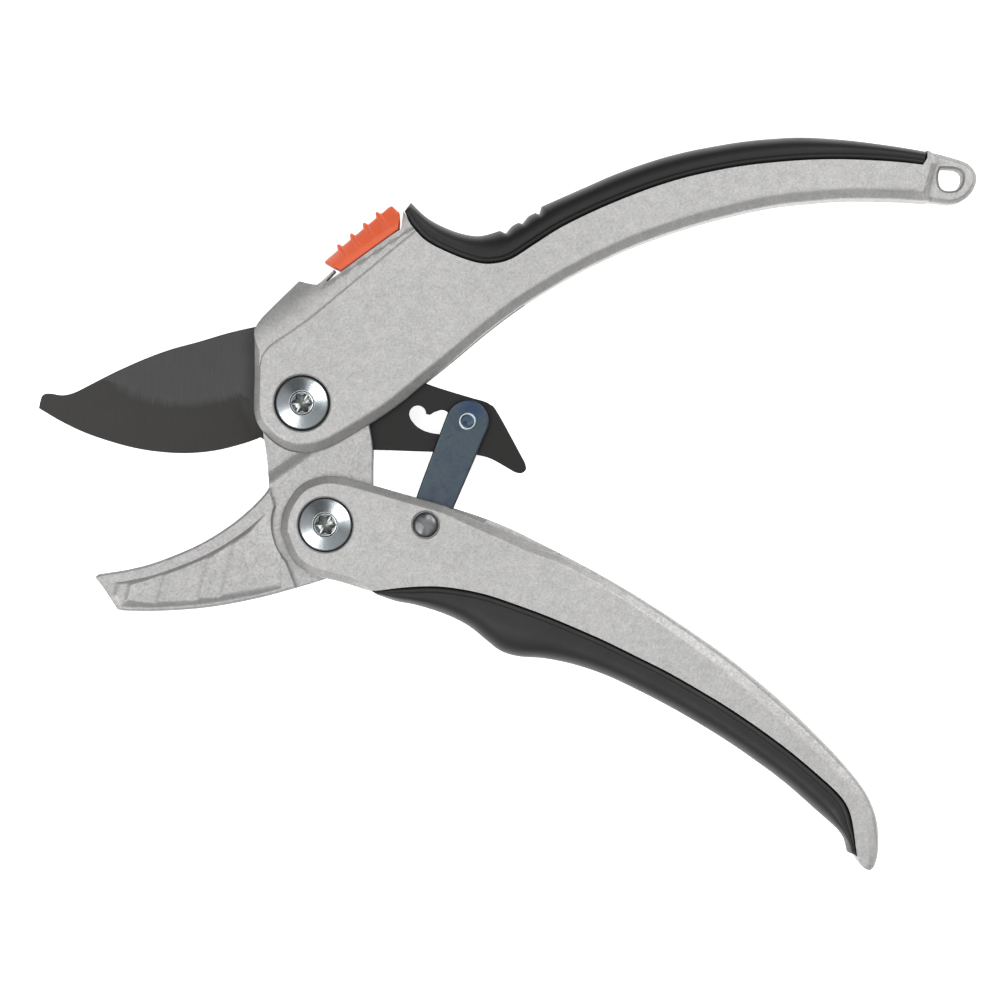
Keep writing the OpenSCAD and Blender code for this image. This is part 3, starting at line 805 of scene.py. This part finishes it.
def lower_casting():
    """Far cheek, middle and near cheek, each from its own outline, joined and bored."""
    channel_low, channel_high, fall = 2.6 * MM, 11.4 * MM, 1.6
    facet = [((1 - part) * CHAMFER, -part * fall) for part in (1, RIM_FOOT, RIM_TOP, 0)]
    side = eased([(0, channel_high)] + placed(facet + [(CAP_INSET * CHAMFER, 0)], HIGH), 0.45)
    under = [(inward, LOW + HIGH - z) for inward, z in side[::-1]]
    cheeks = []
    for name, cut, profile in (("lower_casting", FAR_CHEEK_CUT, under), ("cheek", NEAR_CHEEK_CUT, side)):
        loop = casting_outline("lower_handle", cut)
        share = softened(chamfer_share(loop, "lower_grip", lower_share), 4) * SLIM
        cheeks.append(layered(name, loop, profile, share))
        flattened(cheeks[-1], fall * MM)
    piece, near_cheek = cheeks
    nut_side = nut_recess("handle_bolt", "handle_nut")
    combined(piece, [bore("handle_bolt", SHANK), nut_side, bore("link_pin", 2.02)])
    head_side = head_recess("handle_bolt", "handle_bolt_washer")
    pin_recess = recess_cutter(middle("link_pin"), 3.05 * MM, HIGH - 1.3 * MM, HIGH, 0.2, 1)
    combined(near_cheek, [bore("handle_bolt", SHANK), head_side, bore("link_pin", 2.02), pin_recess])
    core = inset(casting_outline("lower_handle", CHANNEL_CUT), -0.01 * MM)
    overlap = 0.02 * MM
    core_part = layered("core", core, [(0, channel_low - overlap), (0, channel_high + overlap)])
    combined(piece, [core_part, near_cheek], "UNION")
    dressed(piece, "lever", "cast_aluminium", "lower_handle")


# ---- grips ----

def blunt_ended(border):
    """The border without what follows a sharp turn near its right end, where the grip ends square."""
    ways = unit(np.diff(border, axis=0))
    sharp = (ways[1:] * ways[:-1]).sum(1) < math.cos(math.radians(35))
    near_end = border[1:-1, 0] > border[:, 0].max() - 3 * MM
    turns = np.flatnonzero(sharp & near_end) + 1
    if not len(turns):
        return border
    return border[:turns[0] + 1] if border[0, 0] < border[-1, 0] else border[turns[0]:]


def grip_stations(grip_node, casting_node):
    """Matching points on the grip's border with its casting and on its outer side, from end to end."""
    grip = resampled(outlines(grip_node, FAR_CHEEK_CUT)[0], 0.45 * MM)
    touching = nearest_on(grip, outlines(casting_node, FAR_CHEEK_CUT)[0])[0] < 0.16 * MM
    first, last = longest_run(touching)
    outer = grip[np.arange(last, first + len(grip) + 1) % len(grip)][::-1]
    border = resampled(blunt_ended(taken_run(grip, touching)), 0.3 * MM, closed=False, corner=50)
    spots = np.array([np.linalg.norm(border - point, axis=1).argmin() for point in outer], float)
    spots = np.maximum.accumulate(spots)
    spots[0], spots[-1] = 0, len(border) - 1
    spots = evened(spots, 5)
    spots[0], spots[-1] = 0, len(border) - 1
    index = np.arange(len(border))
    return np.column_stack([np.interp(spots, index, side) for side in border.T]), outer


def grip_section(width):
    """Half of a grip's cross-section as (distance from the border, height above the middle), edge first."""
    scale = min(1.0, width / (4.2 * MM))
    crown = 1.9 * MM * scale
    top = 6.35 * MM
    bulge = 2 / 2.5
    points = []
    for angle in np.radians(np.arange(0, 91, 7.5)):
        points.append((crown + (width - crown) * math.cos(angle) ** bulge, top * math.sin(angle) ** bulge))
    lip = [(1.5, 6.28), (1.22, 6.62), (0.85, 6.7), (0.5, 6.6), (0.22, 6.1), (0.0, 5.2)]
    return points + [(place * MM * scale, height * MM) for place, height in lip]


def grip(name, grip_node, casting_node, body):
    """Moulded grip: one section after another from the casting out to the grip's own outer edge.

    Only the outermost part of a section follows the thumb grooves of that edge.
    """
    border, outer = grip_stations(grip_node, casting_node)
    ends = np.minimum(np.arange(len(outer)), np.arange(len(outer))[::-1]) / 12
    level = outer + (evened(outer, 9) - outer) * np.clip(ends, 0, 1)[:, None]
    rings = []
    for foot, smooth_edge, edge in zip(border, level, outer):
        width = max(np.linalg.norm(smooth_edge - foot), 0.02 * MM)
        way = (smooth_edge - foot) / width
        half = grip_section(width)
        ring = []
        for u, z in half[::-1] + [(u, -z) for u, z in half[1:]]:
            place = foot + way * u + (edge - smooth_edge) * (u / width) ** 5
            ring.append((*place, (LOW + HIGH) / 2 + z))
        rings.append(np.array(ring))
    piece = lofted(name, rings)
    dressed(piece, body, grip_node + "_rubber", grip_node, 50)


# ---- jaw and blade ----

def jaw_panel_depth(x, from_edge, from_back):
    """Depth in mm of the jaw's sunk panel, x mm from the tip, at these distances from its long sides."""
    facets = [(0.0, 0.10), (6.6, 0.45), (7.2, 0.80), (13.6, 0.42), (14.2, 0.62), (22.4, 0.50), (23.4, 0.72),
              (27.6, 0.50), (28.6, 0.72), (36.0, 0.60), (48.0, 0.0)]
    floor = np.interp(x - 0.28 * (from_back - 4.0), *zip(*facets))
    walls = [0.75 * (from_edge - 2.3 - 0.02 * x), 0.5 * (from_back - 0.9),
             0.5 * (x - 3.4 - 0.25 * from_back), 0.16 * (38.5 - x + 0.55 * (from_edge - 4.0))]
    return np.minimum(floor, np.min(walls, axis=0))


def jaw_panel_cutter(arm, face, out):
    """Takes a shallow panel with slanting facets out of one face of the jaw's arm."""
    ordered = np.roll(arm, -int(arm[:, 0].argmin()), 0)
    turn = int(ordered[:, 0].argmax())
    back = ordered[:turn + 1]
    edge = ordered[turn:][::-1]
    edge = edge[:int(edge[:, 1].argmax())]
    xs = np.arange(edge[0, 0] + 2.5 * MM, edge[-1, 0] + 3 * MM, 0.3 * MM)
    tops = np.interp(xs, edge[:, 0], edge[:, 1]) - 1.2 * MM
    bottoms = np.interp(xs, back[:, 0], back[:, 1]) + 0.5 * MM
    shares = np.linspace(0, 1, 44)
    grid = np.array([(x, low + (high - low) * part)
                     for x, low, high in zip(xs, bottoms, tops) for part in shares])
    from_edge, from_back = (nearest_on(grid, side, closed=False)[0] / MM for side in (edge, back))
    depth = jaw_panel_depth((grid[:, 0] - edge[0, 0]) / MM, from_edge, from_back)
    return sheet_cutter(grid, len(shares), depth, face, out)


def shoulder_slope_cutter(shoulder, face, out):
    """Turns the step along the shoulder's slanting lower side into a soft slope."""
    slant = np.array([shoulder[shoulder[:, 1].argmin()], shoulder[shoulder[:, 0].argmax()]])
    low = shoulder.min(0) - np.array([1.2, 0.3]) * MM
    high = shoulder.max(0) + 1.2 * MM
    ys = np.arange(low[1], high[1], 0.5 * MM)
    grid = np.array([(x, y) for x in np.arange(low[0], high[0], 0.5 * MM) for y in ys])
    away = nearest_on(grid, slant, closed=False)[0] / MM
    depth = np.interp(away, (0, 0.3, 1.2, 2.1, 2.6, 3.2), (1.5, 1.42, 0.8, 0.18, 0.02, -0.3))
    return sheet_cutter(grid, len(ys), depth, face, out)


def jaw():
    """Plate with a thick arm and shoulder, slotted for the blade; the arm ends in a cone round the bolt."""
    full = casting_outline("lower_jaw", PLATE_CUT)
    low, high = heights("lower_jaw")
    piece = layered("jaw_casting", full, chamfered(low + JAW_STEP, high - JAW_STEP, 0.25, 0.25, 0.1))
    arm, shoulder = (resampled(loop, OUTLINE_STEP) for loop in outlines("lower_jaw", ARM_CUT)[:2])
    jaw_arm = layered("jaw_arm", arm, chamfered(low, high, 0.45, 0.45, 0.12))
    jaw_shoulder = layered("jaw_shoulder", inset(shoulder, -0.02 * MM), [(0, low), (0, high)])
    cone = [(10, 4.15), (11.7, 4.15), (12.3, 5.65), (12.3, 7), (10, 7)]
    for out in (1, -1):
        ring = placed([(radius, out * up) for radius, up in cone], MIDDLE_CUT)
        combined(jaw_arm, [turned_solid("cone", pivot("handle_pivot"), ring, closed=True)])
    combined(piece, [jaw_arm, jaw_shoulder], "UNION")
    slot = opened_side(casting_outline("lower_jaw", MIDDLE_CUT), full, away_up)
    blade_low, blade_high = heights("blade")
    cutters = [layered("slot", slot, [(0, blade_low - 0.2 * MM), (0, blade_high + 0.2 * MM)]),
               bore("blade_bolt", SHANK), bore("handle_bolt", SHANK + 1)]
    for face, out in ((high, 1), (low, -1)):
        cutters += [jaw_panel_cutter(arm, face, out), shoulder_slope_cutter(shoulder, face, out)]
    combined(piece, cutters)
    dressed(piece, "frame", "jaw_casting", "lower_jaw")


def grinding_cutter(outer, low, high, out):
    """Cutter that grinds one side of the blade down to its cutting edge."""
    run = np.roll(outer, -int(outer[:, 0].argmin()), 0)
    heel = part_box("upper_handle")[0].x + 0.5 * MM
    run = run[3:int(np.argmax(run[:, 0] > heel))]
    ahead = unit(run[0] - run[9]) * 6 * MM
    behind = unit(run[-1] - run[-9]) * MM
    run = np.vstack([run[0] + ahead, run] + [run[-1] + behind * k for k in (1, 2, 3, 4)])
    inward = evened(left_of(unit(np.gradient(run, axis=0))), 6)
    from_end = np.linalg.norm(run - run[-1], axis=1) / MM
    widths = (12.6 - 7 * np.clip(1 - from_end / 4.5, 0, 1)) * MM
    edge, full, above = 0.14 * MM, (high - low) / 2, (high - low) / 2 + 1 * MM
    rings = []
    for point, way, width in zip(run, inward, widths):
        section = [(-3 * MM, edge), (0, edge), (0.34 * width, 0.38 * full), (0.7 * width, 0.72 * full),
                   (width, full), (width + 2 * MM, above), (-3 * MM, above)]
        rings.append(np.array([(*(point + way * d), (low + high) / 2 + out * z) for d, z in section]))
    return lofted("grinding", rings)


def blade():
    outer, *holes = outlines("blade", MIDDLE_CUT)
    low, high = heights("blade")
    outer = resampled(outer, 0.6 * MM, corner=62)
    piece = layered("coated_blade", outer, chamfered(low, high, 0.16, 0.16, 0.06))
    combined(piece, [grinding_cutter(outer, low, high, out) for out in (1, -1)])
    combined(piece, flared_cutters(holes, 0.4, low, high, 0.14))
    dressed(piece, "cutter", "coated_blade_steel", "blade", 14)


# ---- bolts, nuts and pins ----

def turned_piece(piece, centre, height, body, slot, node, sharp):
    """Dresses a turned piece, whose own origin goes on its axis, for its turning marks to run round."""
    place = Vector((*centre, height))
    for vertex in piece.data.vertices:
        vertex.co -= place
    piece.location = place
    dressed(piece, body, slot, node, sharp)


def lobed_cutter(centre, low, high):
    """Cutter for a six-lobed socket with a dished floor and a flared mouth."""
    waves = np.cos(6 * np.arange(120) * 2 * math.pi / 120)
    levels = [(0.4, 0.0, low - 0.45 * MM), (1.7, 0.12, low - 0.05 * MM), (1.95, 0.34, low + 0.15 * MM),
              (1.95, 0.34, high - 0.12 * MM), (2.2, 0.4, high + 0.15 * MM), (2.25, 0.4, high + 2 * MM)]
    rings = []
    for radius, lobe, height in levels:
        rings.append(lifted(circle(120) * ((radius + lobe * waves) * MM)[:, None] + centre, height))
    return lofted("lobes", rings)


def bolt(name, node, body):
    centre = middle(node)
    low, high = heights(node)
    radius = radius_of(node) / MM
    head = [(3.0, -2.0), (radius, -2.0), (radius, -1.1), (radius - 0.22, -0.88), (3.0, -0.06),
            (2.85, 0), (2.7, -0.06), (2.55, -0.3), (0, -0.3)]
    profile = placed([(0, 0), (2.5, 0), (3.0, 0.5)], low) + placed(head, high)
    piece = turned_solid(name, centre, eased(profile, 0.12), 128)
    combined(piece, [lobed_cutter(centre, high - 1.9 * MM, high - 0.3 * MM)])
    turned_piece(piece, centre, high, body, "bright_zinc", node, 25)


def nut(name, node, body):
    """Hexagon nut with its corners turned off, and a chamfered bore."""
    centre = middle(node)
    low, high = heights(node)
    corner = radius_of(node)
    piece = layered(name, resampled(circle(6) * corner + centre, 0.8 * MM), [(0, low), (0, high)])
    wide = corner / MM + 0.3
    cone = placed([(0, 0), (0.9 * corner / MM, 0), (wide, 0.7)], low) + placed([(wide, 0), (0, 0)], high)
    combined(piece, [turned_solid("cone", centre, cone, 128)], "INTERSECT")
    hole = placed([(3.4, -1), (3.4, 0), (SHANK, 0.35)], low) + placed([(SHANK, 1)], high)
    combined(piece, [turned_solid("hole", centre, hole)])
    turned_piece(piece, centre, low, body, "bright_zinc", node, 25)


def ratchet_pin():
    """Pin between the link plates, its near end peened to a ring with a sunk middle."""
    centre = middle("ratchet_pin")
    low, high = heights("ratchet_pin")
    head = [(1.5, -0.2), (2.0, -0.2), (1.98, -0.08), (1.75, 0.03), (1.5, 0), (1.38, -0.22), (0, -0.26)]
    profile = placed([(0, 0), (1.3, 0), (1.5, 0.2)], low) + placed(head, high)
    piece = turned_solid("ratchet_rivet", centre, eased(profile, 0.1))
    turned_piece(piece, centre, high, "link", "rivet_zinc", "ratchet_pin", 40)


def link_pin():
    """Pin that the link turns on, with an unevenly peened dome."""
    centre = middle("link_pin")
    low, high = heights("link_pin")
    head = [(2.0, -1.15), (2.8, -1.15), (2.8, -0.75)]
    head += [(2.8 * math.cos(a), 0.75 * math.sin(a) - 0.75) for a in np.radians([20, 40, 58, 74, 84])]
    profile = placed([(0, 0), (1.8, 0), (2.0, 0.2)], low) + placed(head + [(0, 0)], high)
    piece = turned_solid("link_rivet", centre, profile, 72)
    for vertex in piece.data.vertices:
        if vertex.co.z > high - 0.7 * MM:
            x, y = (vertex.co.xy - Vector(centre)) / MM
            dents = math.sin(2.3 * x + 1.1 * y) * math.cos(1.9 * y - 0.7 * x)
            vertex.co.z -= 0.06 * MM * (1 + dents)
    turned_piece(piece, centre, high, "lever", "pin_steel", "link_pin", 40)


def link_plate(name, node):
    low, high = heights(node)
    outer, *holes = outlines(node, (low + high) / 2)
    sides = placed([(0.5, 0), (0.15, 0), (0, 0.15)], low) + placed([(0, -0.2), (0.22, 0), (0.6, 0)], high)
    piece = layered(name, resampled(outer, 0.5 * MM), eased(sides, 0.08))
    combined(piece, flared_cutters(holes, 0.3, low, high, 0.06))
    dressed(piece, "link", "blue_zinc", node, 40)


def return_spring():
    """Torsion spring wound round the link's pin, with a straight leg at each end."""
    x, y = middle("link_pin")
    wire, radius, turns, steps = 0.35 * MM, 3.45 * MM, 3.5, 40
    low, high = heights("return_spring")
    start, end = low + wire, high - wire
    total = int(turns * steps)
    path = [Vector((x + 5.2 * MM, y - 3.7 * MM, start))]
    for i in range(total + 1):
        angle = math.radians(-100) + 2 * math.pi * i / steps
        height = start + (end - start) * i / total
        path.append(Vector((x + radius * math.cos(angle), y + radius * math.sin(angle), height)))
    path.append(Vector((x - 1.0 * MM, y + 5.6 * MM, end)))
    rings = []
    for i, point in enumerate(path):
        way = (path[min(i + 1, len(path) - 1)] - path[max(i - 1, 0)]).normalized()
        side = way.cross(Vector((0, 0, 1))).normalized()
        over = side.cross(way)
        rings.append(np.array([(point + wire * (side * c + over * s))[:] for c, s in circle(12)]))
    piece = lofted("return_spring_wire", rings)
    smoothed(piece, 50)
    piece.modifiers.clear()
    piece.data.materials.append(MATERIALS["spring_steel"])
    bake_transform(piece)
    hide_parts("return_spring")


# ---- lock ----

def slider_section(x, half):
    """Section of the slider x mm along it, as (way across, height above its middle) in mm."""
    band = 2.95
    foot = np.interp(x, (2.6, 3.4, 4.7, 20.5, 21.7, 22.7), (4.55, 3.0, 0.9, 1.6, 3.2, 4.8))
    crest = np.interp(x, (2.6, 3.2, 21.4, 22.2, 22.7), (4.7, 5.0, 7.15, 7.0, 4.9))
    rib = min(1.0, 1.7 * sum(max(0.0, 1 - abs(x - 7.25 - 11.2 * k / 3) / 0.72) for k in range(4)))
    ends = min(1.0, (x - 2.6) / 1.6, (22.7 - x) / 1.3)
    wide = half - 1.1 * (1 - max(0.0, ends)) ** 2
    crest_wide = min(wide, 3.0)
    tall = max(0.02, crest - foot)
    levels = [0, 0.25, max(0.3, band - 0.12 - foot), max(0.35, band + 0.15 - foot), tall - 0.45, tall]
    places = foot + np.maximum.accumulate(np.minimum(levels, tall))
    slope = np.clip((places - band) / max(0.3, crest - band), 0, 1)
    widths = wide - (wide - crest_wide) * slope + 0.3 * rib * np.clip(4 * slope, 0, 1) * (slope < 0.98)
    widths[0] = wide - 0.28
    widths[5] = crest_wide - 0.5
    places += 0.95 * rib * np.clip(2.5 * (slope - 0.6), 0, 1)
    side = list(zip(places, widths))
    return [(y, -z) for y, z in side] + [(y, z) for y, z in side[::-1]]


def thumb_slider():
    """Ribbed slider, lofted along its slide, on a neck that goes down into the casting."""
    origin, along, across = slide_frame()
    low, high = heights("lock_slider")
    level = (low + high) / 2
    half = (high - low) / 2 / MM

    def placed_on_slide(x, y):
        return origin + (x * along + y * across) * MM

    rings = []
    for x in np.concatenate([[2.6, 2.64, 2.75], np.arange(2.9, 22.5, 0.14), [22.55, 22.65, 22.7]]):
        section = slider_section(x, half)
        rings.append(np.array([(*placed_on_slide(x, y), level + z * MM) for y, z in section]))
    piece = lofted("thumb_slider", rings)
    neck = np.array([placed_on_slide(x, y) for x, y in ((7, -2), (17, -2), (17, 2), (7, 2))])
    combined(piece, [layered("neck", neck, placed([(0, -3.7), (0, 3.7)], level))], "UNION")
    dressed(piece, "lock", "orange_plastic", "lock_slider", 32)


# ---- CAD nodes that stay ----

def kept(node, slot, edge=0.0):
    """A CAD node whose shape is right: it gets its finish, and a rounded edge where one shows."""
    piece = frame["nodes"][node]
    piece.data.materials.clear()
    piece.data.materials.append(MATERIALS[slot])
    weld = piece.modifiers.new("weld", "WELD")
    weld.merge_threshold = 0.002 * MM
    if edge:
        bevel = piece.modifiers.new("edges", "BEVEL")
        bevel.width = edge
        bevel.segments = 2
        bevel.limit_method = "ANGLE"
        bevel.angle_limit = math.radians(35)


upper_casting()
lower_casting()
grip("upper_grip_pad", "upper_grip", "upper_handle", "frame")
grip("lower_grip_pad", "lower_grip", "lower_handle", "lever")
jaw()
blade()
bolt("blade_bolt_turned", "blade_bolt", "frame")
bolt("handle_bolt_turned", "handle_bolt", "lever")
nut("blade_nut_hexagon", "blade_nut", "frame")
nut("handle_nut_hexagon", "handle_nut", "lever")
ratchet_pin()
link_pin()
link_plate("near_link_plate", "link_plate_near")
link_plate("far_link_plate", "link_plate_far")
return_spring()
thumb_slider()
kept("blade_bolt_washer", "black_washer", 0.08 * MM)
kept("handle_bolt_washer", "dark_washer", 0.08 * MM)
kept("blade_washer_near", "white_washer")
kept("blade_washer_far", "white_washer")
kept("blade_bush", "bronze_bush")
kept("handle_bush", "bronze_bush")
kept("link_bush", "pin_steel")
kept("lock_strip", "strip_steel", 0.12 * MM)
kept("lock_detent_spring", "spring_steel")


# ---- stage, lights and camera ----

def pale_floor():
    material, tree, shader, coords = new_material("pale_floor", Roughness=0.9, Specular_IOR_Level=0.1,
                                                  Emission_Color=(1, 1, 1), Emission_Strength=0.8)
    cloud = noise_size(tree, coords, 300 * MM, detail=2)
    tree.links.new(stops(tree, cloud, [(0.3, 0.92), (0.7, 0.94)]), shader.inputs["Base Color"])
    half = 3.0
    corners = [(-half, -half, 0), (half, -half, 0), (half, half, 0), (-half, half, 0)]
    floor = new_object("floor", corners, [(0, 1, 2, 3)])
    floor.location.z = -0.1 * MM
    floor.data.materials.append(material)


def soft_light(name, place, size, power):
    lamp = bpy.data.lights.new(name, "AREA")
    lamp.shape = "SQUARE"
    lamp.size = size
    lamp.energy = power
    holder = bpy.data.objects.new(name, lamp)
    holder.location = place
    holder.rotation_euler = (-Vector(place)).to_track_quat("-Z", "Y").to_euler()
    bpy.context.scene.collection.objects.link(holder)


def dark_card(tree, sky, way, near, far, darkest):
    """The sky with a soft-edged dark card hung in the direction way."""
    away = distance_from(tree, tree.nodes["Texture Coordinate"].outputs["Generated"], way)
    fade = shader_node(tree, "MapRange", Value=away, From_Min=near, From_Max=far, To_Min=darkest)
    fade.interpolation_type = "SMOOTHSTEP"
    return mixed(tree, 1.0, sky, fade.outputs["Result"], "MULTIPLY")


def studio():
    scene = bpy.context.scene
    scene.view_settings.view_transform = "Standard"
    scene.world = bpy.data.worlds.new("studio")
    scene.world.use_nodes = True
    tree = scene.world.node_tree
    x, y, z = split_up(tree, shader_node(tree, "TexCoord").outputs["Generated"])
    sky = stops(tree, z, [(0.0, 0.12), (0.25, 0.28), (0.6, 0.62), (1.0, 1.0)])
    brighter = math_step(tree, "MULTIPLY", math_step(tree, "MULTIPLY", x, y), 0.9)
    lit = mixed(tree, 1.0, sky, brighter, "ADD")
    tinted = mixed(tree, 1.0, lit, (0.985, 0.990, 1.0), "MULTIPLY")
    carded = dark_card(tree, tinted, (-0.19, 0.586, 0.788), 0.22, 0.42, 0.28)
    carded = dark_card(tree, carded, (0.579, -0.21, 0.788), 0.06, 0.2, 0.4)
    background = tree.nodes["Background"]
    tree.links.new(carded, background.inputs["Color"])
    background.inputs["Strength"].default_value = 0.88
    soft_light("right_light", (0.55, 0.5, 1.0), 0.45, 5.0)
    soft_light("left_light", (-0.55, -0.5, 1.0), 0.45, 4.0)
    soft_light("head_light", (-0.28, 0.02, 1.0), 0.3, 0.9)


def straight_down_camera():
    """Camera high above the middle of the shears, with the lens that gives a 224 mm wide view there."""
    view_width = 224.1 * MM
    distance = 950 * MM
    data = bpy.data.cameras.new("camera")
    data.sensor_width = 36
    data.lens = data.sensor_width * distance / view_width
    camera = bpy.data.objects.new("camera", data)
    centre = (cad_low + cad_high) / 2
    camera.location = (centre.x - 1.6 * MM, centre.y + 0.75 * MM, cad_high.z - 4.0 * MM + distance)
    bpy.context.scene.collection.objects.link(camera)
    bpy.context.scene.camera = camera


pale_floor()
studio()
straight_down_camera()
